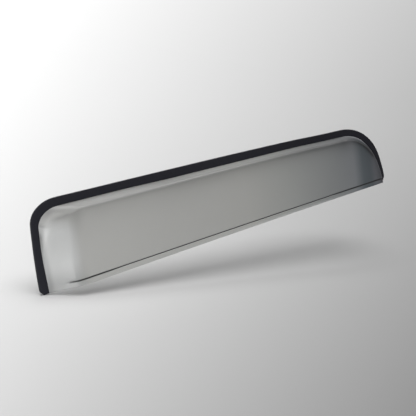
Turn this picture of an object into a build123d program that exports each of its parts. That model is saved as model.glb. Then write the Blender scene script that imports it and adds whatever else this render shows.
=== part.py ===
"""Stick-on window rain deflector: a bulged smoke acrylic shell, its black flange border and its mounting tape.

Millimetres. +X runs along the top edge towards the rear end, +Z is up, -Y points out of the vehicle, and the
tape's bonding face lies in Y = 0.
"""

import os
from math import atan2, cos, hypot, radians, sin, sqrt, tan

from build123d import *

os.makedirs("parts", exist_ok=True)

# Flange outline, seen from outside
top_length = 516.0
front_height = 108.0
rear_height = 85.4
front_lean = 1.6
rear_lean = 15.4
front_corner_r = 32.0
rear_corner_r = 68.0
foot_corner_r = 5.0
top_rise = 1.7

# Layers, from the tape outwards
tape_t = 1.0
flange_t = 1.6
border_t = 1.2
wall_t = 2.5

# Flange, border and tape widths
flange_width = 10.0
border_rim = 1.2
border_edge_r = 0.5
tape_edge = 1.5
tape_width = 7.0
tape_end_gap = 3.0

# Stand-off of the face from the border's front, at three corners of the outline
stand_front_top = 11.0
stand_rear_top = 8.3
stand_front_foot = 17.0

# Walls between the border and the face
ramp_width = 35.0
shoulder_front = 6.0
shoulder_rear = 4.5
rear_wall = 5.2
face_corner_r = 16.0
crown_drop = 2.2
inner_crown_drop = 0.8
crown_middle = 0.27

# Free lower edge
foot_rise = 0.06
lip_front = 8.0
lip_rear = 6.9
lip_flare = 0.8
lip_bite = 0.5
lip_run_out = 26.0
groove_r = 0.7

tool_drop = 8.0

y_back = -tape_t
y_flange = y_back - flange_t
y_front = y_flange - border_t
slope_x = (stand_rear_top - stand_front_top) / top_length
slope_z = (stand_front_foot - stand_front_top) / front_height
front_slant = tan(radians(front_lean))
rear_slant = tan(radians(rear_lean))
foot_front_x = -front_slant * front_height
foot_rear_x = top_length + rear_slant * rear_height
foot_slope = (front_height - rear_height) / (foot_rear_x - foot_front_x)
origin_x = top_length / 2
origin_z = top_rise - tape_edge - tape_width / 2


def stand(x, z):
    """Distance from the border's front plane to the face."""
    return stand_front_top + slope_x * x - slope_z * z


def bend(before, corner, after, radius):
    """Start, middle and end of a round corner between two straight edges."""
    towards = (before - corner).normalized()
    onwards = (after - corner).normalized()
    half = radians(towards.get_angle(onwards)) / 2
    reach = radius / tan(half)
    middle = corner + (towards + onwards).normalized() * (radius / sin(half) - radius)
    return corner + towards * reach, middle, corner + onwards * reach


def outline(front_in, top_front_in, top_rear_in, rear_in, front_r, rear_r, lower, foot_r=0):
    """Flange outline moved in by the given widths, its foot lowered below the free edge."""

    def front(z):
        return Vector(front_slant * z + front_in / cos(radians(front_lean)), z)

    def rear(z):
        return Vector(top_length - rear_slant * z - rear_in / cos(radians(rear_lean)), z)

    foot_0 = -front_height - lower - foot_slope * foot_front_x
    front_foot = front((foot_0 + foot_slope * front(0).X) / (1 - foot_slope * front_slant))
    rear_foot = rear((foot_0 + foot_slope * rear(0).X) / (1 + foot_slope * rear_slant))
    front_top = front(-top_front_in)
    rear_top = rear(-top_rear_in)
    front_bend = bend(front_foot, front_top, rear_top, front_r)
    rear_bend = bend(front_top, rear_top, rear_foot, rear_r)
    along = (rear_top - front_top).normalized()
    crown = (front_bend[2] + rear_bend[0]) / 2 + Vector(0, top_rise)
    edges = [
        ThreePointArc(*front_bend),
        Spline(front_bend[2], crown, rear_bend[0], tangents=[along, along]),
        ThreePointArc(*rear_bend),
    ]
    foot = [rear_foot, front_foot]
    if foot_r:
        rear_foot_bend = bend(rear_top, rear_foot, front_foot, foot_r)
        front_foot_bend = bend(rear_foot, front_foot, front_top, foot_r)
        edges += [ThreePointArc(*rear_foot_bend), ThreePointArc(*front_foot_bend)]
        foot = [rear_foot_bend[0], rear_foot_bend[2], front_foot_bend[0], front_foot_bend[2]]
        edges.append(Line(foot[1], foot[2]))
    else:
        edges.append(Line(rear_foot, front_foot))
    edges += [Line(rear_bend[2], foot[0]), Line(foot[-1], front_bend[0])]
    return make_face(edges)


def inset(width, lower, foot_r=0):
    """Flange outline moved in by one width all round."""
    return outline(width, width, width, width, front_corner_r - width, rear_corner_r - width, lower, foot_r)


def level(y):
    """Plane parallel to the bonding face, looking outwards."""
    return Plane(origin=(0, y, 0), x_dir=(1, 0, 0), z_dir=(0, -1, 0))


def face_plane(sunk):
    """Plane of the tilted face, or one sunk below it."""
    return Plane(
        origin=(0, y_front - stand_front_top + sunk, 0),
        x_dir=(1, -slope_x, 0),
        z_dir=(-slope_x, -1, slope_z),
    )


def rounded(apex, run, crown, drop):
    """Inset of a sloped wall, rounded over the crown height into the face, at a drop below the face."""
    angle = atan2(1, run)
    radius = crown / (1 - cos(angle))
    return apex + radius * tan(angle / 2) - sqrt(2 * radius * drop - drop**2)


def bulge(base, walls, corner_r, sunk, crown):
    """Body from a flat base outline up to the tilted face."""

    def section(drop):
        front, top_front, top_rear, rear = [rounded(apex, run, crown, drop) for apex, run in walls]
        front_r = corner_r + walls[1][0] - top_front
        sketch = outline(front, top_front, top_rear, rear, front_r, rear_corner_r - rear, tool_drop)
        return face_plane(sunk + drop) * sketch

    sides = loft([base, section(crown)], ruled=True)
    return sides + loft([section(crown), section(crown * crown_middle), section(0)])


mid_z = -front_height / 2
widths = [ramp_width, shoulder_front, shoulder_rear, rear_wall]
heights = [
    stand(ramp_width, mid_z),
    stand(0, -flange_width - shoulder_front),
    stand(top_length, -flange_width - shoulder_rear),
    stand(top_length, mid_z),
]
runs = [width / height for width, height in zip(widths, heights)]
outer_walls = [(flange_width + width, run) for width, run in zip(widths, runs)]
inner_walls = [(apex + wall_t * (hypot(1, run) - run), run) for apex, run in outer_walls]
inner_base = [flange_width + wall_t * hypot(1, run) - run * (flange_t + border_t) for run in runs]

# Bulge outside, with the lip flared out along its free edge
outer_body = bulge(level(y_front) * inset(flange_width, tool_drop), outer_walls, face_corner_r, 0, crown_drop)


def on_face(x, z):
    """Point of the face."""
    return Vector(x, y_front - stand(x, z), z)


def foot_point(x):
    """Point of the face on the lower edge."""
    z = -front_height + foot_slope * (x - foot_front_x)
    return on_face(x, z + foot_rise * stand(x, z))


lip_from = on_face(foot_front_x, foot_point(foot_front_x).Z + lip_front)
lip_to = on_face(foot_rear_x, foot_point(foot_rear_x).Z + lip_rear)
lip_line = lip_to - lip_from
outward = Vector(0, -1, 0)


def lip_top(x):
    """Point of the straight line where the lip begins."""
    return lip_from + lip_line * ((x - lip_from.X) / lip_line.X)


def lip_section(x):
    """Flared lip across the face at x, reaching below the lower edge and into the wall."""
    top = lip_top(x)
    below = foot_point(x) * 2 - top
    points = [top, below + outward * 2 * lip_flare, below - outward * lip_bite, top - outward * lip_bite]
    return make_face(Polyline(*points, close=True))


def lip_end(x):
    """Point inside the wall where the lip dies away."""
    return Vertex(*((lip_top(x) + foot_point(x)) / 2 - outward * lip_bite / 2))


face_front_x = foot_front_x + rounded(*outer_walls[0], crown_drop, 0)
face_rear_x = foot_rear_x - rounded(*outer_walls[3], crown_drop, 0) / cos(radians(rear_lean))
lip = loft(
    [
        lip_end(face_front_x),
        lip_section(face_front_x + lip_run_out),
        lip_section(face_rear_x - lip_run_out / 2),
        lip_end(face_rear_x),
    ],
    ruled=True,
)
groove = extrude(Plane(origin=lip_from, z_dir=lip_line) * Circle(groove_r), amount=lip_line.length)
foot_plane = Plane(origin=(foot_front_x, y_front, -front_height), z_dir=(-foot_slope, foot_rise, 1))
outer_body = split(outer_body + lip, bisect_by=foot_plane, keep=Keep.TOP)

# Hollow behind the bulge, open at the back and the foot
hollow_base = outline(
    *inner_base,
    front_corner_r - inner_base[1],
    rear_corner_r - inner_base[3],
    tool_drop,
)
hollow = bulge(level(y_back) * hollow_base, inner_walls, face_corner_r - wall_t, wall_t, inner_crown_drop)

# Flange: the shell's core carries the border, which wraps its front and edge
plate = extrude(level(y_back) * inset(0, 0, foot_corner_r), amount=flange_t + border_t)
core = extrude(level(y_back) * inset(border_rim, 0, foot_corner_r - border_rim), amount=flange_t)
window = extrude(level(y_back) * inset(flange_width, tool_drop), amount=flange_t + border_t)
flange_border = plate - core - window
border_edge = flange_border.faces().sort_by(Axis.Y)[0].edges().sort_by(Axis.Z)[-1]
flange_border = fillet(border_edge, border_edge_r)
visor_shell = core + (plate & window) + outer_body - hollow - groove

# Tape on the back of the flange
tape = extrude(level(0) * inset(tape_edge, -tape_end_gap), amount=tape_t)
tape -= extrude(level(0) * inset(tape_edge + tape_width, tool_drop), amount=tape_t)

nodes = {
    "visor_shell": visor_shell,
    "flange_border": flange_border,
    "mounting_tape": tape,
}
for name, shape in nodes.items():
    export_step(Pos(-origin_x, 0, -origin_z) * shape, f"parts/{name}.step")
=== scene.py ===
"""Looks of a window rain deflector: smoke acrylic shell, black flange border and foam tape.

Metres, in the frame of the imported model: +X to the rear end, +Z up, -Y out of the vehicle.
"""

from math import atan2, cos, exp, hypot, pi, radians, sin, sqrt, tan

import bmesh
import bpy
from mathutils import Matrix, Quaternion, Vector
from mathutils.kdtree import KDTree


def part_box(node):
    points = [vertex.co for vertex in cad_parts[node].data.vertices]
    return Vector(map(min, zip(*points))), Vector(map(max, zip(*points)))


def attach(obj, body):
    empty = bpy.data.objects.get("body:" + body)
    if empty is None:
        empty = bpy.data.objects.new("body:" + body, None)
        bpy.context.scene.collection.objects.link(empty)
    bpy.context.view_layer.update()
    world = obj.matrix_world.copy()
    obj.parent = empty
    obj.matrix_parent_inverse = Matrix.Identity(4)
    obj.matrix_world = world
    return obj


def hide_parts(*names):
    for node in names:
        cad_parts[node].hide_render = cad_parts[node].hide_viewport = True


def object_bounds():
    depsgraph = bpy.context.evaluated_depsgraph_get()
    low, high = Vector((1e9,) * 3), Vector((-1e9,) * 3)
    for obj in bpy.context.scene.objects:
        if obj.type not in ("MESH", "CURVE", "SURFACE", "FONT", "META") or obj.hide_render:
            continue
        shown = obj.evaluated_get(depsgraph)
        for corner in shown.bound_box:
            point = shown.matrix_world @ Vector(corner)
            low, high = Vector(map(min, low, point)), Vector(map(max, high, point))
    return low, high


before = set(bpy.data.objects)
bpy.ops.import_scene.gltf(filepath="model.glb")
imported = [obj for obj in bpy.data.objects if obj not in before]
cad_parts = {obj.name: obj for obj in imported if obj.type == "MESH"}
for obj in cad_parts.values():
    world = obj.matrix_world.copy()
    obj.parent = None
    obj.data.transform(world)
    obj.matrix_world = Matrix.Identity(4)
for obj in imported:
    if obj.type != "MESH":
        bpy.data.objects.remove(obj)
cad_low, cad_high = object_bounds()

# Shell: one injection moulding in light smoke acrylic. A long ramp at the front end, a steep shoulder along
# the top and a slanted wall at the rear lift its face clear of the window. The foot is open and ends in a
# thin flared lip below a fine groove.
mm = 0.001
border_low, border_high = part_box("flange_border")
core_t = 1.6 * mm
y_back = border_high.y
y_front = border_low.y
y_core = y_back - core_t

# Outline of the flange, seen from outside
top_length = 516 * mm
top_rise = 1.7 * mm
rise_at_front = 0.45
rise_growth = 0.9
rise_end = (0.8, 1)
z_line = border_high.z - top_rise
front_height = z_line - border_low.z
rear_height = 85.4 * mm
front_lean = radians(1.6)
rear_lean = radians(15.4)
front_top_x = -top_length / 2
rear_top_x = top_length / 2
front_foot_x = front_top_x - tan(front_lean) * front_height
rear_foot_x = rear_top_x + tan(rear_lean) * rear_height
foot_slope = (front_height - rear_height) / (rear_foot_x - front_foot_x)
front_corner_r = 27 * mm
front_corner_growth = 0.58
front_stretch = 1.28
rear_corner_r = 70 * mm
foot_corner_r = 7 * mm
flange_width = 10 * mm
rear_narrowing = 0.1
top_swell = 0.12
swell_rise = (0.18, 0.37)
swell_fall = (0.55, 0.92)
swell_inset = 15 * mm
front_zone = (20 * mm, 70 * mm)
front_draw = 0.4 * mm
front_bow = 1.0 * mm
bow_middle = 0.6
front_slimming = 0.12
front_spread = 0.19
spread_from = 0.45
tuck_zone = (rear_foot_x - 60 * mm, rear_foot_x - 15 * mm)
rear_tuck = 2.2 * mm
rear_tuck_height = 22 * mm

# Walls between the flange and the face, and the face's stand-off
wall_t = 2.5 * mm
wall_widths = (35 * mm, 6 * mm, 3.6 * mm, 4.8 * mm)
stand_front_top = 11 * mm
stand_rear_top = 8.3 * mm
stand_front_foot = 17 * mm
stand_slope_x = (stand_rear_top - stand_front_top) / top_length
stand_slope_z = (stand_front_foot - stand_front_top) / front_height
face_front_x = front_foot_x + flange_width + wall_widths[0]
face_rear_x = rear_foot_x - (flange_width + wall_widths[3]) / cos(rear_lean)

# Free edge, lip and groove
foot_rise = 0.06
foot_arch = 1.2 * mm
edge_r = 0.45 * mm
lip_front = 7.0 * mm
lip_rear = 6.1 * mm
lip_arch = -0.5 * mm
groove_half_front = 0.65 * mm
groove_half_rear = 0.45 * mm
groove_fade = 90 * mm
groove_end_widening = 0.22 * mm
groove_end = (face_rear_x - 120 * mm, face_rear_x - 50 * mm)


def smooth(low, high, value):
    """Soft step from 0 at low to 1 at high."""
    s = min(max((value - low) / (high - low), 0), 1)
    return s * s * (3 - 2 * s)


def between(rise, fall, value):
    """Soft step up over one span and down again over another."""
    return smooth(*rise, value) * (1 - smooth(*fall, value))


def arch(s):
    """Low arch over a share of a length, from 0 through 1 and back to 0."""
    return 4 * s * (1 - s)


def stand(x, z):
    """Distance of the face from the border's front plane."""
    return stand_front_top + stand_slope_x * (x - front_top_x) - stand_slope_z * (z - z_line)


def along_foot(x):
    """Share of the way from the front foot corner to the rear one."""
    return (x - front_foot_x) / (rear_foot_x - front_foot_x)


def foot_z(x, lift):
    """Height of the free edge, which rises outwards and arches a little along its length."""
    straight = z_line - front_height + foot_slope * (x - front_foot_x)
    return straight + foot_rise * max(lift, 0) + foot_arch * arch(along_foot(x))


def above_foot(point):
    """Height of a point over the free edge."""
    return point.z - foot_z(point.x, y_front - point.y)


def lip_height(x):
    """Height of the groove above the free edge."""
    s = along_foot(x)
    return lip_front + (lip_rear - lip_front) * s + lip_arch * arch(s)


def groove_half(x):
    """Half the width of the groove's floor, which is wider at both ends of the groove."""
    fade = smooth(face_front_x, face_front_x + groove_fade, x)
    widening = groove_end_widening * smooth(*groove_end, x)
    return groove_half_front + (groove_half_rear - groove_half_front) * fade + widening


def bend(before, corner, after, radius, steps, stretch=1):
    """Points of a round corner between two straight edges, drawn out along the second by a factor."""
    towards = (before - corner).normalized()
    onwards = (after - corner).normalized()
    half = towards.angle(onwards) / 2
    centre = corner + (towards + onwards).normalized() * (radius / sin(half))
    first = corner + towards * (radius / tan(half)) - centre
    side = Vector((-first.y, first.x))
    turn = pi - 2 * half
    if side.dot(onwards) < 0:
        side = -side
    points = []
    for k in range(steps + 1):
        point = centre + first * cos(turn * k / steps) + side * sin(turn * k / steps)
        share = towards.cross(point - corner) / towards.cross(onwards)
        points.append(point + onwards * share * (stretch - 1))
    return points


round_steps = 4
round_turns = [pi / 2 * k / round_steps for k in range(round_steps + 1)]
round_rows = [edge_r * (1 - cos(turn)) for turn in round_turns]
lip_shares = [0.12, 0.2, 0.3, 0.42, 0.56, 0.72]
groove_side_rows = 2
lower_rows = len(round_rows) + len(lip_shares) + groove_side_rows
side_steps = 14
side_spacing = 1.2
front_arc_steps = 16
top_steps = 96
rear_arc_steps = 28
foot_rounds = 4


def foot_rows(x):
    """Heights of the rows between the free edge and the groove."""
    lip = lip_height(x)
    half = groove_half(x)
    return round_rows + [share * lip for share in lip_shares] + [lip - 2 * half, lip - half]


def settle(point, lift, front_in):
    """Outline point moved in where the ends aren't straight: along the front and at the rear foot."""
    x, z = point
    down = (z_line - z) / front_height
    widening = front_spread * smooth(spread_from, 1, down) - front_slimming
    bow = front_bow * min(1, ((down - bow_middle) / (1 - bow_middle)) ** 2)
    at_front = 1 - smooth(*front_zone, x - front_top_x)
    moved = at_front * (front_draw + bow + widening * min(front_in, flange_width))
    height = z - foot_z(x, lift(x, z))
    low = 1 - min(max(height / rear_tuck_height, 0), 1)
    moved -= smooth(*tuck_zone, x) * rear_tuck * low**2
    return Vector((x + moved, z + foot_slope * moved))


def rail(insets, radii, lift, foot_r=0, gap=0):
    """Line from the front foot over the top to the rear foot, moved in by four insets."""
    front_in, top_front_in, top_rear_in, rear_in = insets

    def front(z, more=0):
        edge_x = front_top_x + tan(front_lean) * (z - z_line)
        return Vector((edge_x + (front_in + more) / cos(front_lean), z))

    def rear(z, more=0):
        edge_x = rear_top_x - tan(rear_lean) * (z - z_line)
        return Vector((edge_x - (rear_in + more) / cos(rear_lean), z))

    def at_height(side, height):
        more = 0
        if height < foot_r:
            more = foot_r - sqrt(foot_r**2 - (foot_r - height) ** 2)
        point = side(z_line - front_height, more)
        for _ in range(foot_rounds):
            point = side(foot_z(point.x, lift(*point)) + gap + height, more)
        return point

    def climb(side, top):
        foot = at_height(side, 0)
        lip = lip_height(foot.x)
        half = groove_half(foot.x)
        heights = foot_rows(foot.x) + [lip, lip + half, lip + 2 * half]
        points = [at_height(side, height) for height in heights]
        base = points[-1]
        shares = [(k / side_steps) ** side_spacing for k in range(1, side_steps)]
        return points + [base.lerp(top, share) for share in shares]

    front_top = front(z_line - top_front_in)
    rear_top = rear(z_line - top_rear_in)
    front_foot = front(z_line - front_height)
    rear_foot = rear(z_line - front_height)
    front_bend = bend(front_foot, front_top, rear_top, radii[0], front_arc_steps, front_stretch)
    rear_bend = bend(front_top, rear_top, rear_foot, radii[1], rear_arc_steps)
    most_swell = top_swell * min(top_front_in, flange_width)
    most_swell *= 1 - smooth(flange_width, swell_inset, top_front_in)
    points = climb(front, front_bend[0]) + front_bend
    for k in range(1, top_steps):
        s = k / top_steps
        rise = top_rise * arch(s) * (rise_at_front + rise_growth * s) * (1 - smooth(*rise_end, s))
        swell = most_swell * between(swell_rise, swell_fall, s)
        points.append(front_bend[-1].lerp(rear_bend[0], s) + Vector((0, rise - swell)))
    points += rear_bend + climb(rear, rear_bend[-1])[::-1]
    settled = [settle(point, lift, front_in) for point in points]
    return [Vector((p.x, y_front - lift(*p), p.y)) for p in settled]


def even(inset):
    """Insets and corner radii of a line along the flange, which narrows a little at its rear top."""
    insets = (inset, inset, inset * (1 - rear_narrowing), inset)
    return insets, (front_corner_r - front_corner_growth * inset, rear_corner_r - inset)


def level(y):
    """Lift of a flat layer of the flange."""
    return lambda x, z: y_front - y


# Walls, each with a steep step beside the border, and the crown that rounds them into the face
mid_z = z_line - front_height / 2
wall_heights = (
    stand(front_top_x + wall_widths[0], mid_z),
    stand(front_top_x, z_line - flange_width - wall_widths[1]),
    stand(rear_top_x, z_line - flange_width - wall_widths[2]),
    stand(rear_top_x, mid_z),
)
runs = [width / height for width, height in zip(wall_widths, wall_heights)]
outer_walls = [(flange_width + width, run) for width, run in zip(wall_widths, runs)]
inner_walls = [(apex + wall_t * (hypot(1, run) - run), run) for apex, run in outer_walls]
inner_base = [flange_width + wall_t * hypot(1, run) - run * (y_back - y_front) for run in runs]
inner_corner_r = 20 * mm
inner_step_share = 0.3
step_height = 6 * mm
step_foot_height = 1 * mm
step_width = 2.5 * mm
step_corner_r = 23 * mm
step_front = (45 * mm, 90 * mm)
step_fade_from = 15 * mm
bend_from = 0.4
bend_to = 0.35
bend_steps = 10
slope_steps = 6
face_corner_r = 16 * mm
rear_crown_ease = 8 * mm
crown_drop = 2.2 * mm
inner_crown_drop = 3 * mm
crown_steps = 10
corner_start = lower_rows + groove_side_rows + side_steps
top_start = corner_start + front_arc_steps
corner_in = (corner_start - 3, corner_start + 3)
corner_out = (top_start, top_start + 14)
corner_bend = 0.45


def rounded(apex, run, crown, drop):
    """Inset of a sloped wall, rounded over the crown height into the face, at a drop below the face."""
    angle = atan2(1, run)
    radius = crown / (1 - cos(angle))
    return apex + radius * tan(angle / 2) - sqrt(2 * radius * drop - drop**2)


def step_lift(x, z):
    """Height of the steep step beside the border, which dies away down the front end."""
    at_front = 1 - smooth(*step_front, x - front_top_x)
    down = smooth(step_fade_from, front_height, z_line - z) * at_front
    return step_height + (step_foot_height - step_height) * down


def step_rail(base_inset):
    """Line along the top of the step."""
    insets = [base_inset + step_width] + [base_inset + run * step_height for run in runs[1:]]
    return rail(insets, (step_corner_r, rear_corner_r - insets[3]), step_lift)


def crown_rail(walls, corner_r, sunk, crown, drop):
    """Line round the bulge at a drop below the face."""
    insets = [rounded(apex, run, crown, drop) for apex, run in walls]
    radii = (corner_r + walls[1][0] - insets[1], rear_corner_r + rear_crown_ease - insets[3])
    return rail(insets, radii, lambda x, z: stand(x, z) - sunk - drop)


def skin_rails(base, step, walls, corner_r, sunk, crown):
    """Lines from the foot of the walls, up and over the crown to the edge of the face.

    In the front corner there is no step, and the walls run straight up to the crown.
    """
    drops = [crown * (1 - k / crown_steps) ** 2 for k in range(crown_steps + 1)]
    crowned = [crown_rail(walls, corner_r, sunk, crown, drop) for drop in drops]
    columns = []
    for k, (a, b, c) in enumerate(zip(base, step, crowned[0])):
        b = b.lerp(a.lerp(c, corner_bend), between(corner_in, corner_out, k))
        first = a.lerp(b, bend_from)
        last = b.lerp(c, bend_to)
        column = [a, a.lerp(b, bend_from / 2)]
        for i in range(bend_steps + 1):
            t = i / bend_steps
            column.append(first.lerp(b, t).lerp(b.lerp(last, t), t))
        column += [last.lerp(c, i / slope_steps) for i in range(1, slope_steps)]
        columns.append(column)
    return [list(line) for line in zip(*columns)] + crowned


# Lines of the outer and the inner side. The first three of each lie flat on the flange.
border_rim = 1.2 * mm
seam_gap = 0.03 * mm
core_inset = border_rim + seam_gap
core_foot_r = foot_corner_r - border_rim
flange_lines = 3
outer_base = rail(*even(flange_width + seam_gap), level(y_front))
outer_rails = [
    rail(*even(core_inset), level(y_core + seam_gap), core_foot_r),
    rail(*even(flange_width + seam_gap), level(y_core + seam_gap)),
    *skin_rails(outer_base, step_rail(flange_width), outer_walls, face_corner_r, 0, crown_drop),
]
inner_form = (inner_walls, face_corner_r - wall_t, wall_t, inner_crown_drop)
inner_edge = rail(*even(core_inset), level(y_back), core_foot_r)
inner_foot = rail(inner_base, (inner_corner_r, rear_corner_r - inner_base[3]), level(y_back))
inner_crown = crown_rail(*inner_form, inner_crown_drop)
inner_step = [a.lerp(b, inner_step_share) for a, b in zip(inner_foot, inner_crown)]
inner_rails = [
    inner_edge,
    [a.lerp(b, 0.5) for a, b in zip(inner_edge, inner_foot)],
    *skin_rails(inner_foot, inner_step, *inner_form),
]

fill_rows = 16
groove_rows = 4
across_weight = 0.75
least_height = 1e-9


def face_grid(edge):
    """Rows of points that fill the face from the crown's inner edge down to the free edge."""
    columns = edge[lower_rows : len(edge) - lower_rows]
    travel = [0.0]
    for a, b in zip(columns, columns[1:]):
        travel.append(travel[-1] + (b - a).length)
    start, end = columns[0], columns[-1]
    shares = []
    for point, way in zip(columns, travel):
        across = (point.x - start.x) / (end.x - start.x)
        shares.append(across_weight * across + (1 - across_weight) * way / travel[-1])
    rows = []
    for rows_left in range(fill_rows - 1, -1, -1):
        row = []
        for point, share in zip(columns, shares):
            x = start.x + (end.x - start.x) * share
            offset = start.lerp(end, share)
            bottom = Vector((x, offset.y, foot_z(x, y_front - offset.y) + lip_height(x)))
            height = point.z - bottom.z
            keep = height * rows_left / fill_rows
            if rows_left < groove_rows:
                keep = min(keep, rows_left * groove_half(x))
            down = 1 - keep / height if height > least_height else 1
            row.append(point.lerp(bottom, down))
        rows.append(row)
    for r in range(lower_rows - 1, -1, -1):
        a, b = edge[r], edge[len(edge) - 1 - r]
        row = []
        for share in shares:
            x = a.x + (b.x - a.x) * share
            y = a.y + (b.y - a.y) * share
            row.append(Vector((x, y, foot_z(x, y_front - y) + foot_rows(x)[r])))
        rows.append(row)
    return rows


lip_flare = 0.8 * mm
lip_run_out = 26 * mm
lip_in = (face_front_x - 8 * mm, face_front_x + lip_run_out)
lip_out = (face_rear_x - lip_run_out / 2, face_rear_x + 3 * mm)
groove_depth = 0.5 * mm
groove_in = (face_front_x - 13 * mm, face_front_x - 9 * mm)


def flare(point):
    """How far the lip stands out of the face at a point, and the share of the groove's depth there."""
    lip = lip_height(point.x)
    height = above_foot(point)
    out = lip_flare * between(lip_in, lip_out, point.x) * max(0, 1 - height / lip)
    cut = min(1, max(0, 2 - abs(height - lip) / groove_half(point.x)))
    return out, smooth(*groove_in, point.x) * cut


def soft_edge(height):
    """How far a rounded free edge draws in."""
    if height >= edge_r:
        return 0
    return edge_r - sqrt(edge_r**2 - (edge_r - max(height, 0)) ** 2)


class Skin:
    """Vertices and faces of a mesh under construction, with the groove's strength at each vertex."""

    def __init__(self):
        self.points = []
        self.faces = []
        self.marks = []

    def add(self, point, mark=0.0):
        """Adds a vertex and returns its number."""
        self.points.append(point)
        self.marks.append(mark)
        return len(self.points) - 1

    def strip(self, first, second):
        """Adds the faces between two lines of vertices."""
        for a, b, c, d in zip(first, first[1:], second[1:], second):
            self.faces.append((a, b, c, d))

    def shade(self, line, rule):
        """Mask by a rule on each vertex, the number of the line's nearest point, and its distance."""
        tree = KDTree(len(line))
        for k, point in enumerate(line):
            tree.insert(point, k)
        tree.balance()
        return [rule(point, *tree.find(point)[1:]) for point in self.points]


def add_rail(skin, line, sign, flared):
    """Adds one line of the outer or inner side, its free edge rounded, and returns its vertices."""
    made = []
    for point in line:
        out, mark = flare(point) if flared else (0, 0)
        y = point.y - out + mark * groove_depth + sign * soft_edge(above_foot(point))
        made.append(skin.add(Vector((point.x, y, point.z)), mark))
    return made


def add_side(skin, rails, sign, flared):
    """Adds the walls and the face of one side of the shell, and returns its lines and its free edge."""
    lines = []
    for k, line in enumerate(rails):
        lifted = k >= flange_lines
        lines.append(add_rail(skin, line, sign if lifted else 0, flared and lifted))
    for first, second in zip(lines, lines[1:]):
        skin.strip(first, second)
    edge = lines[-1]
    rear_row = len(edge) - 1 - lower_rows
    above = edge[lower_rows : rear_row + 1]
    for k, row in enumerate(face_grid(rails[-1]), 1):
        inner = add_rail(skin, row[1:-1], sign, flared)
        down = max(0, k - fill_rows)
        here = [edge[lower_rows - down]] + inner + [edge[rear_row + down]]
        if k >= fill_rows:
            skin.strip(above, here)
        else:
            skin.strip(above[1:-1], inner)
            skin.faces.append((above[0], above[1], inner[0]))
            skin.faces.append((inner[-1], above[-2], above[-1]))
        above = here
    return lines, above


shell_skin = Skin()
outer_lines, outer_rim = add_side(shell_skin, outer_rails, 1, True)
inner_lines, inner_rim = add_side(shell_skin, inner_rails, -1, False)
shell_skin.strip(outer_lines[0], inner_lines[0])
shell_skin.strip(outer_rim, inner_rim)
for end in (0, -1):
    shell_skin.strip([line[end] for line in outer_lines], [line[end] for line in inner_lines])

weld_distance = 1e-7


def build(name, skin, sharp_angle, **masks):
    """Mesh object from a finished skin, closed, facing outwards and smooth but for its sharp edges."""
    mesh = bpy.data.meshes.new(name)
    mesh.from_pydata(skin.points, [], skin.faces)
    for mask_name, values in masks.items():
        mesh.attributes.new(mask_name, "FLOAT", "POINT").data.foreach_set("value", values)
    made = bmesh.new()
    made.from_mesh(mesh)
    bmesh.ops.remove_doubles(made, verts=made.verts, dist=weld_distance)
    bmesh.ops.dissolve_degenerate(made, edges=made.edges, dist=weld_distance)
    bmesh.ops.recalc_face_normals(made, faces=made.faces)
    made.to_mesh(mesh)
    made.free()
    mesh.shade_smooth()
    mesh.set_sharp_from_angle(angle=sharp_angle)
    piece = bpy.data.objects.new(name, mesh)
    bpy.context.scene.collection.objects.link(piece)
    return piece


# Painted shade along the crown, which starts on the hip below the front corner
crest_share = 0.3
crest = crown_rail(outer_walls, face_corner_r, 0, crown_drop, crest_share * crown_drop)
rear_start = len(crest) - corner_start - rear_arc_steps
hip_steps = 12
hip_end = Vector((front_top_x + 25 * mm, y_front - 6 * mm, z_line - 23.5 * mm))
hip = [hip_end.lerp(crest[top_start], k / hip_steps) for k in range(hip_steps)]
hip_in = (16 * mm, 30 * mm)
hip_out = (48 * mm, 64 * mm)
hip_reach = 2.5 * mm
crown_line = hip + crest[top_start:rear_start]
crown_in = (0, 38 * mm)
crown_depth = 0.58
hip_depth = 0.5
rear_crown_depth = 0.42
rear_crown_in = (130 * mm, 250 * mm)
crisp_in = (56 * mm, 84 * mm)
crisp_reach = 3 * mm
low_reach = 6 * mm
low_growth = 6.5 * mm
low_growth_in = (28 * mm, 46 * mm)
low_loss = 3.5 * mm
low_loss_in = (170 * mm, 260 * mm)


def crown_shade(point, k, distance):
    """Painted shade of the crown: short above the crest and crisp along the top, long below the crest."""
    along = point.x - front_top_x
    crisp = smooth(*crisp_in, along)
    near = crisp * exp(-((distance / crisp_reach) ** 4)) + (1 - crisp) * exp(-distance / hip_reach)
    if point.z < crown_line[k].z:
        reach = low_reach + low_growth * smooth(*low_growth_in, along)
        reach -= low_loss * smooth(*low_loss_in, along)
        near = exp(-distance / reach)
    depth = crown_depth + hip_depth * between(hip_in, hip_out, along)
    depth += rear_crown_depth * smooth(*rear_crown_in, along)
    return depth * smooth(*crown_in, along) * near


# Painted shade of the shoulder between the border and the crown, in columns from the front corner on
shoulder_top_in = (top_start - 5, top_start + 5)
shoulder_reach = (3 * mm, 9 * mm)
shoulder_top_growth = 7 * mm
middle_in = (-140 * mm, 0)
middle_out = (50 * mm, 160 * mm)
middle_loss = 0.95
turn_in = (corner_start + 2, corner_start + 5)
turn_out = (corner_start + 6, corner_start + 11)
turn_loss = 0.4
beside_in = (corner_start - 5, corner_start - 1)
beside_out = (corner_start + 1, corner_start + 3)
beside_gain = 0.75


def shoulder_shade(point, k, distance):
    """Painted shade beside the border: broad along the top, faint in its middle, uneven round the corner.
    """
    growth = shoulder_top_growth * smooth(*shoulder_top_in, k)
    near = 1 - smooth(shoulder_reach[0] + growth, shoulder_reach[1] + growth, distance)
    middle = 1 - middle_loss * between(middle_in, middle_out, point.x)
    corner = 1 - turn_loss * between(turn_in, turn_out, k)
    corner += beside_gain * between(beside_in, beside_out, k)
    return near * middle * corner
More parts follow.
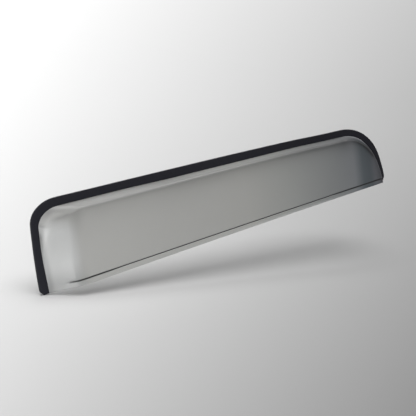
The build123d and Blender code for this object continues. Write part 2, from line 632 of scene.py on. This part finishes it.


# Painted shade and highlight of the rear end, in columns from the start of its round corner on
rear_arc_end = rear_start + 3 * rear_arc_steps // 4
sliver_end = rear_arc_end - 3
rear_end_reach = 9 * mm
crease_in = (rear_start, rear_start + 12)
crease_reach = 2.2 * mm
crease_growth = 1.3 * mm
crease_growth_in = (rear_start + 8, rear_start + 18)
sliver_in = (rear_start - 4, rear_start + 18)
sliver_width = (2 * mm, 5 * mm)


def rear_end_shade(point, k, distance):
    """Broad painted shade over the rear wall."""
    return exp(-distance / rear_end_reach)


def rear_crease_shade(point, k, distance):
    """Painted shade: a dark line along the crown in the rear corner."""
    reach = crease_reach + crease_growth * smooth(*crease_growth_in, k)
    return smooth(*crease_in, k) * exp(-((distance / reach) ** 2))


def rear_shoulder_glow(point, k, distance):
    """Painted highlight: a bright sliver beside the border in the rear corner."""
    return smooth(*sliver_in, k) * (1 - smooth(*sliver_width, distance))


# Painted light on the ramp and the lip, and painted shade at the ramp's toe
panel_length = 35 * mm
panel_top = 39 * mm
panel_slant = 0.12
panel_slant_from = 25 * mm
panel_edge = (4 * mm, 19 * mm)
toe_height = (5 * mm, 32 * mm)
toe_length = (30 * mm, 60 * mm)
lip_glow_in = (-90 * mm, 100 * mm)
lip_glow_out = (130 * mm, 215 * mm)
lip_glow_height = (0.05, 0.5)


def panel_light(point):
    """Painted light: a pale panel of the ramp, with a slanted top."""
    along = point.x - front_top_x
    past_x = max(0, along - panel_length)
    slant = panel_slant * max(0, along - panel_slant_from)
    past_z = max(0, point.z - z_line + panel_top + slant)
    return 1 - smooth(*panel_edge, hypot(past_x, past_z))


def toe_shade(point):
    """Painted shade at the foot of the ramp."""
    low = 1 - smooth(*toe_height, above_foot(point))
    return low * (1 - smooth(*toe_length, point.x - front_top_x))


def lip_glow(point):
    """Painted light on the lower part of the lip towards the rear."""
    low = 1 - smooth(*lip_glow_height, above_foot(point) / lip_height(point.x))
    return between(lip_glow_in, lip_glow_out, point.x) * low


# The shell keeps masks of painted light and shade, and the groove's marks, which cut the groove and paint
# its shade.
shell_sharp_angle = radians(38)
shell = build(
    "smoke_shell",
    shell_skin,
    shell_sharp_angle,
    groove=shell_skin.marks,
    panel=[panel_light(point) for point in shell_skin.points],
    toe=[toe_shade(point) for point in shell_skin.points],
    crown=shell_skin.shade(crown_line, crown_shade),
    shoulder=shell_skin.shade(outer_base[:rear_start], shoulder_shade),
    rear_end=shell_skin.shade(crest[rear_start:], rear_end_shade),
    rear_crease=shell_skin.shade(crest[:rear_arc_end], rear_crease_shade),
    rear_shoulder=shell_skin.shade(outer_base[:sliver_end], rear_shoulder_glow),
    lip=[lip_glow(point) for point in shell_skin.points],
)


def new_material(name):
    """Material with its own node tree, and its Principled shader."""
    material = bpy.data.materials.new(name)
    material.use_nodes = True
    return material, material.node_tree, material.node_tree.nodes["Principled BSDF"]


def node(tree, kind, inputs, **settings):
    """Shader node with its settings, plain values and links given by name."""
    made = tree.nodes.new(kind)
    for name, value in settings.items():
        setattr(made, name, value)
    for socket, value in inputs.items():
        if isinstance(value, bpy.types.NodeSocket):
            tree.links.new(value, made.inputs[socket])
        else:
            made.inputs[socket].default_value = value
    return made


def calc(tree, operation, a, b=0.0):
    """Result of one sum on two values."""
    return node(tree, "ShaderNodeMath", {0: a, 1: b}, operation=operation).outputs[0]


def mix(tree, factor, a, b, blend="MIX"):
    """Mix of two colours."""
    inputs = {0: factor, 6: a, 7: b}
    return node(tree, "ShaderNodeMix", inputs, data_type="RGBA", blend_type=blend).outputs[2]


def ramp(tree, value, stops):
    """Colour that follows a value through a few stops."""
    made = node(tree, "ShaderNodeValToRGB", {0: value})
    elements = made.color_ramp.elements
    while len(elements) < len(stops):
        elements.new(0.5)
    for element, (place, colour) in zip(elements, stops):
        element.position = place
        element.color = (*colour, 1)
    return made.outputs[0]


def object_place(tree):
    """Places on the object, in metres."""
    return node(tree, "ShaderNodeTexCoord", {}).outputs["Object"]


def mask(tree, name):
    """Mask stored on the mesh."""
    return node(tree, "ShaderNodeAttribute", {}, attribute_name=name).outputs["Fac"]


grain = bpy.data.node_groups.new("fine_grain", "ShaderNodeTree")
grain.interface.new_socket("Place", in_out="INPUT", socket_type="NodeSocketVector")
grain.interface.new_socket("Scale", in_out="INPUT", socket_type="NodeSocketFloat")
grain.interface.new_socket("Amount", in_out="INPUT", socket_type="NodeSocketFloat")
grain.interface.new_socket("Shade", in_out="OUTPUT", socket_type="NodeSocketFloat")
grain.interface.new_socket("Height", in_out="OUTPUT", socket_type="NodeSocketFloat")
given = grain.nodes.new("NodeGroupInput").outputs
noise_inputs = {"Vector": given["Place"], "Scale": given["Scale"], "Detail": 4.0, "Roughness": 0.55}
speckle = node(grain, "ShaderNodeTexNoise", noise_inputs).outputs[0]
swing = calc(grain, "MULTIPLY", calc(grain, "SUBTRACT", speckle, 0.5), given["Amount"])
node(grain, "NodeGroupOutput", {"Shade": calc(grain, "ADD", swing, 1.0), "Height": speckle})


def add_grain(tree, scale, amount):
    """Fine speckle in the surface: a shade around 1 and a height."""
    inputs = {"Place": object_place(tree), "Scale": scale, "Amount": amount}
    return node(tree, "ShaderNodeGroup", inputs, node_tree=grain).outputs


def bump(tree, shader, height, distance, strength):
    """Turns a height into the shader's normal."""
    inputs = {"Height": height, "Distance": distance, "Strength": strength}
    tree.links.new(node(tree, "ShaderNodeBump", inputs).outputs[0], shader.inputs["Normal"])


def shaded(tree, colour, shade):
    """Colour times a shade."""
    grey = node(tree, "ShaderNodeCombineColor", {0: shade, 1: shade, 2: shade}).outputs[0]
    return mix(tree, 1.0, colour, grey, "MULTIPLY")


length_from = -0.26
length_to = 0.28


def length_share(tree):
    """Share of the way along the deflector, from its front end to its rear end."""
    along = node(tree, "ShaderNodeSeparateXYZ", {0: object_place(tree)}).outputs[0]
    return node(tree, "ShaderNodeMapRange", {0: along, 1: length_from, 2: length_to}).outputs[0]


smoke, tree, shader = new_material("smoke_acrylic")
# Smoke colour along the length with painted light and shade: lighter over the ramp, darker towards the rear
# and darkest at the rear end.
tint_stops = (
    (0.0, (0.324, 0.324, 0.317)),
    (0.05, (0.329, 0.329, 0.321)),
    (0.085, (0.361, 0.361, 0.35)),
    (0.14, (0.355, 0.355, 0.344)),
    (0.3, (0.333, 0.333, 0.323)),
    (0.45, (0.315, 0.315, 0.305)),
    (0.53, (0.304, 0.304, 0.293)),
    (0.65, (0.252, 0.256, 0.249)),
    (0.82, (0.167, 0.173, 0.175)),
    (0.875, (0.148, 0.154, 0.162)),
    (0.905, (0.07, 0.081, 0.089)),
    (0.93, (0.062, 0.072, 0.08)),
    (0.945, (0.095, 0.098, 0.108)),
    (0.96, (0.085, 0.087, 0.097)),
    (0.975, (0.045, 0.045, 0.052)),
    (1.0, (0.04, 0.04, 0.047)),
)
# Grey of the painted shade at the ramp's toe, along the crown and beside the shoulder.
deep_smoke = (0.02, 0.02, 0.02, 1)
# Masks of painted light and shade: pale ramp, dark rear end and rear crease, rear highlight, lip light,
# groove shade.
mask_tints = (
    ("panel", 1.0, (0.388, 0.393, 0.39, 1)),
    ("toe", 0.4, deep_smoke),
    ("crown", 0.49, deep_smoke),
    ("shoulder", 0.34, deep_smoke),
    ("rear_end", 0.45, (0.006, 0.006, 0.008, 1)),
    ("rear_shoulder", 0.85, (0.75, 0.75, 0.77, 1)),
    ("rear_crease", 1.0, (0.001, 0.001, 0.001, 1)),
    ("lip", 0.25, (0.6, 0.6, 0.6, 1)),
    ("groove", 1.0, (0.008, 0.008, 0.008, 1)),
)
polished_roughness = 0.29
dull_roughness = 0.1
tint = ramp(tree, length_share(tree), tint_stops)
for name, strength, colour in mask_tints:
    tint = mix(tree, calc(tree, "MULTIPLY", mask(tree, name), strength), tint, colour)
ripple = add_grain(tree, scale=900.0, amount=0.06)
tree.links.new(shaded(tree, tint, ripple["Shade"]), shader.inputs["Base Color"])
dull = calc(tree, "MINIMUM", calc(tree, "ADD", mask(tree, "crown"), mask(tree, "shoulder")), 1.0)
polish = calc(tree, "ADD", calc(tree, "MULTIPLY", dull, dull_roughness), polished_roughness)
tree.links.new(calc(tree, "MULTIPLY", polish, ripple["Shade"]), shader.inputs["Roughness"])
flow = add_grain(tree, scale=60.0, amount=0.0)
bump(tree, shader, flow["Height"], distance=0.02 * mm, strength=0.5)
shader.inputs["IOR"].default_value = 1.49
shader.inputs["Transmission Weight"].default_value = 0.45
shell.data.materials.append(smoke)
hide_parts("visor_shell")
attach(shell, "root")

# Border: a second shot of black plastic moulded over the flange. It covers the flange's front and wraps its
# outer edge on the front end, the top and the rear end, and is matt with softly rounded edges.
border_edge_r = 0.5 * mm
border_inner_r = 0.25 * mm
border_inner_steps = 3
border_crown = 0.06 * mm
border_crown_shares = (0.25, 0.5, 0.75)


def border_section():
    """Inset, height and foot radius of each line round the border, front face first."""
    lines = [(0, y_back, foot_corner_r)]
    for turn in round_turns:
        inset = border_edge_r * (1 - cos(turn))
        lines.append((inset, y_front + border_edge_r * (1 - sin(turn)), foot_corner_r))
    for share in border_crown_shares:
        inset = border_edge_r + share * (flange_width - border_edge_r)
        lines.append((inset, y_front - border_crown * arch(share), 0))
    for k in range(border_inner_steps + 1):
        turn = pi / 2 * k / border_inner_steps
        inset = flange_width - border_inner_r * (1 - sin(turn))
        lines.append((inset, y_front + border_inner_r * (1 - cos(turn)), 0))
    lines.append((flange_width, y_core, 0))
    lines.append((border_rim, y_core, core_foot_r))
    lines.append((border_rim, y_back, core_foot_r))
    return lines


def band(section, end_gap=0):
    """Skin of a closed band along the flange, through the lines of its section."""
    skin = Skin()
    lines = []
    for inset, y, foot_r in section:
        lines.append([skin.add(p) for p in rail(*even(inset), level(y), foot_r, end_gap)])
    for first, second in zip(lines, lines[1:] + lines[:1]):
        skin.strip(first, second)
    for end in (0, -1):
        skin.faces.append(tuple(line[end] for line in lines))
    return skin


band_sharp_angle = radians(40)
border = build("flange_border_band", band(border_section()), band_sharp_angle)

black, tree, shader = new_material("black_border_plastic")
# The black is painted darker towards the rear end: painted shade along the length.
black_stops = (
    (0.0, (0.0072, 0.0072, 0.0105)),
    (0.5, (0.0078, 0.0078, 0.0108)),
    (0.8, (0.0048, 0.0048, 0.0074)),
)
matt_roughness = 0.6
pigment = ramp(tree, length_share(tree), black_stops)
leather = add_grain(tree, scale=1600.0, amount=0.5)
tree.links.new(shaded(tree, pigment, leather["Shade"]), shader.inputs["Base Color"])
tree.links.new(calc(tree, "MULTIPLY", leather["Shade"], matt_roughness), shader.inputs["Roughness"])
bump(tree, shader, leather["Height"], distance=0.05 * mm, strength=0.4)
shader.inputs["Specular IOR Level"].default_value = 0.2
border.data.materials.append(black)
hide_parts("flange_border")
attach(border, "root")

# Tape: a die-cut strip of double-sided foam tape along the back of the flange, which bonds the deflector to
# the window frame. Its cut sides bulge a little.
tape_edge = 1.5 * mm
tape_width = 7 * mm
tape_end_gap = 3 * mm
tape_bulge = 0.12 * mm
tape_side_steps = 6
tape_low, tape_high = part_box("mounting_tape")


def tape_section():
    """Inset, height and foot radius of each line round the tape, its outer side first."""
    lines = []
    sides = (
        (tape_edge, -tape_bulge, tape_low.y, tape_high.y),
        (tape_edge + tape_width, tape_bulge, tape_high.y, tape_low.y),
    )
    for inset, bulge, start, end in sides:
        for k in range(tape_side_steps + 1):
            share = k / tape_side_steps
            lines.append((inset + bulge * arch(share), start + share * (end - start), 0))
    return lines


tape = build("foam_tape_strip", band(tape_section(), tape_end_gap), band_sharp_angle)

foam, tree, shader = new_material("foam_tape")
foam_grey = (0.045, 0.045, 0.05, 1)
foam_roughness = 0.85
specks = add_grain(tree, scale=700.0, amount=0.5)
cell_inputs = {"Vector": object_place(tree), "Scale": 2200.0}
cells = node(tree, "ShaderNodeTexVoronoi", cell_inputs).outputs["Distance"]
pores = calc(tree, "MULTIPLY", calc(tree, "ADD", cells, 0.5), specks["Shade"])
tree.links.new(shaded(tree, foam_grey, pores), shader.inputs["Base Color"])
tree.links.new(calc(tree, "MULTIPLY", specks["Shade"], foam_roughness), shader.inputs["Roughness"])
bump(tree, shader, cells, distance=0.15 * mm, strength=0.6)
tape.data.materials.append(foam)
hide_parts("mounting_tape")
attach(tape, "root")

# Camera: a long lens outside the vehicle, above the object and off to its front end, turned a little about
# its own axis.
view_azimuth = radians(-31.528)
view_elevation = radians(13.603)
view_roll = radians(-6.789)
view_distance = 1071.2 * mm
view_target = Vector((-25.0, -3.8, -54.95)) * mm
back = Vector(
    (
        sin(view_azimuth) * cos(view_elevation),
        -cos(view_azimuth) * cos(view_elevation),
        sin(view_elevation),
    )
)
camera = bpy.data.objects.new("camera", bpy.data.cameras.new("camera"))
camera.data.sensor_width = 36
camera.data.lens = 73.56
camera.rotation_mode = "QUATERNION"
camera.location = view_target + back * view_distance
camera.rotation_quaternion = (-back).to_track_quat("-Z", "Y") @ Quaternion((0, 0, 1), view_roll)
bpy.context.scene.collection.objects.link(camera)
bpy.context.scene.camera = camera

# Stage: a sheet of pale paper that touches the front foot corner and falls away below the rear end. A
# broad soft lamp above makes the shadow, a fill without shadow stands at the front left and a strip lamp
# at the rear. The world is a dim fill, and a grey backdrop where it is seen or mirrored.
floor_tilt = radians(17)
floor_roll = radians(-6.7)
floor_size = 30.0
upright_eye = camera.rotation_quaternion @ Quaternion((0, 0, 1), floor_roll)
right = upright_eye @ Vector((1, 0, 0))
up = upright_eye @ Vector((0, 1, 0))
floor_up = up * cos(floor_tilt) + back * sin(floor_tilt)
floor_away = floor_up.cross(right)
floor_point = Vector((border_low.x + foot_corner_r, y_back, border_low.z))
floor_turn = Matrix((right, floor_away, floor_up)).transposed().to_4x4()
corners = [(-1, -1, 0), (1, -1, 0), (1, 1, 0), (-1, 1, 0)]
floor_mesh = bpy.data.meshes.new("floor")
floor_mesh.from_pydata([Vector(corner) * floor_size for corner in corners], [], [(0, 1, 2, 3)])
floor = bpy.data.objects.new("floor", floor_mesh)
floor.matrix_world = Matrix.Translation(floor_point) @ floor_turn
bpy.context.scene.collection.objects.link(floor)

# The paper's grey is a painted falloff of the studio light: it darkens towards the right and towards the
# camera.
fan_x = 0.173
fan_y = -1.013
least_reach = 0.65
most_fan = 0.29
fan_fall = -0.545
near_fall = -0.135
middle_grey = 0.812
grey_power = 2.2
palest_grey = 0.95
paper, tree, shader = new_material("paper_floor")
spot = node(tree, "ShaderNodeSeparateXYZ", {0: object_place(tree)})
fan_reach = calc(tree, "MAXIMUM", calc(tree, "SUBTRACT", spot.outputs[1], fan_y), least_reach)
fan = calc(tree, "DIVIDE", calc(tree, "SUBTRACT", spot.outputs[0], fan_x), fan_reach)
fan = calc(tree, "MINIMUM", calc(tree, "MAXIMUM", fan, -most_fan), most_fan)
closeness = calc(tree, "DIVIDE", 1.0, fan_reach)
fall = calc(tree, "MULTIPLY", fan, fan_fall)
grey = calc(tree, "ADD", fall, calc(tree, "MULTIPLY", closeness, near_fall))
grey = calc(tree, "ADD", grey, middle_grey)
paper_grey = calc(tree, "MINIMUM", calc(tree, "POWER", grey, grey_power), palest_grey)
fibre = add_grain(tree, scale=260.0, amount=0.012)
tree.links.new(calc(tree, "MULTIPLY", paper_grey, fibre["Shade"]), shader.inputs["Base Color"])
shader.inputs["Roughness"].default_value = 1.0
shader.inputs["Specular IOR Level"].default_value = 0.0
floor.data.materials.append(paper)


def add_sun(name, towards, strength, angle, shadow):
    """Broad lamp far away in a direction, with or without a shadow."""
    sun = bpy.data.objects.new(name, bpy.data.lights.new(name, "SUN"))
    sun.data.energy = strength * pi
    sun.data.angle = radians(angle)
    sun.data.use_shadow = shadow
    sun.rotation_mode = "QUATERNION"
    sun.rotation_quaternion = (-towards).to_track_quat("-Z", "Y")
    bpy.context.scene.collection.objects.link(sun)


overhead_lean = 0.03
add_sun("overhead_lamp", floor_up + overhead_lean * floor_away, strength=1.2, angle=58, shadow=True)
add_sun("side_lamp", Vector((-0.66, -0.7, 0)), strength=1.1, angle=40, shadow=False)

strip_place = Vector((1.3, 0.35, 0.55))
strip = bpy.data.objects.new("rear_strip_lamp", bpy.data.lights.new("rear_strip_lamp", "AREA"))
strip.data.shape = "RECTANGLE"
strip.data.size = 0.1
strip.data.size_y = 0.9
strip.data.energy = 0.3
strip.location = strip_place
strip.rotation_mode = "QUATERNION"
strip.rotation_quaternion = ((cad_low + cad_high) / 2 - strip_place).to_track_quat("-Z", "Y")
bpy.context.scene.collection.objects.link(strip)

fill_grey = 0.06
backdrop_grey = 0.32
world = bpy.data.worlds.new("studio")
world.use_nodes = True
tree = world.node_tree
rays = node(tree, "ShaderNodeLightPath", {}).outputs
mirrored = calc(tree, "MAXIMUM", rays["Is Glossy Ray"], rays["Is Transmission Ray"])
seen = calc(tree, "MAXIMUM", rays["Is Camera Ray"], mirrored)
glow = calc(tree, "ADD", calc(tree, "MULTIPLY", seen, backdrop_grey - fill_grey), fill_grey)
sky = tree.nodes["Background"]
sky.inputs["Color"].default_value = (1, 1, 1, 1)
tree.links.new(glow, sky.inputs["Strength"])
bpy.context.scene.world = world
bpy.context.scene.view_settings.view_transform = "Standard"
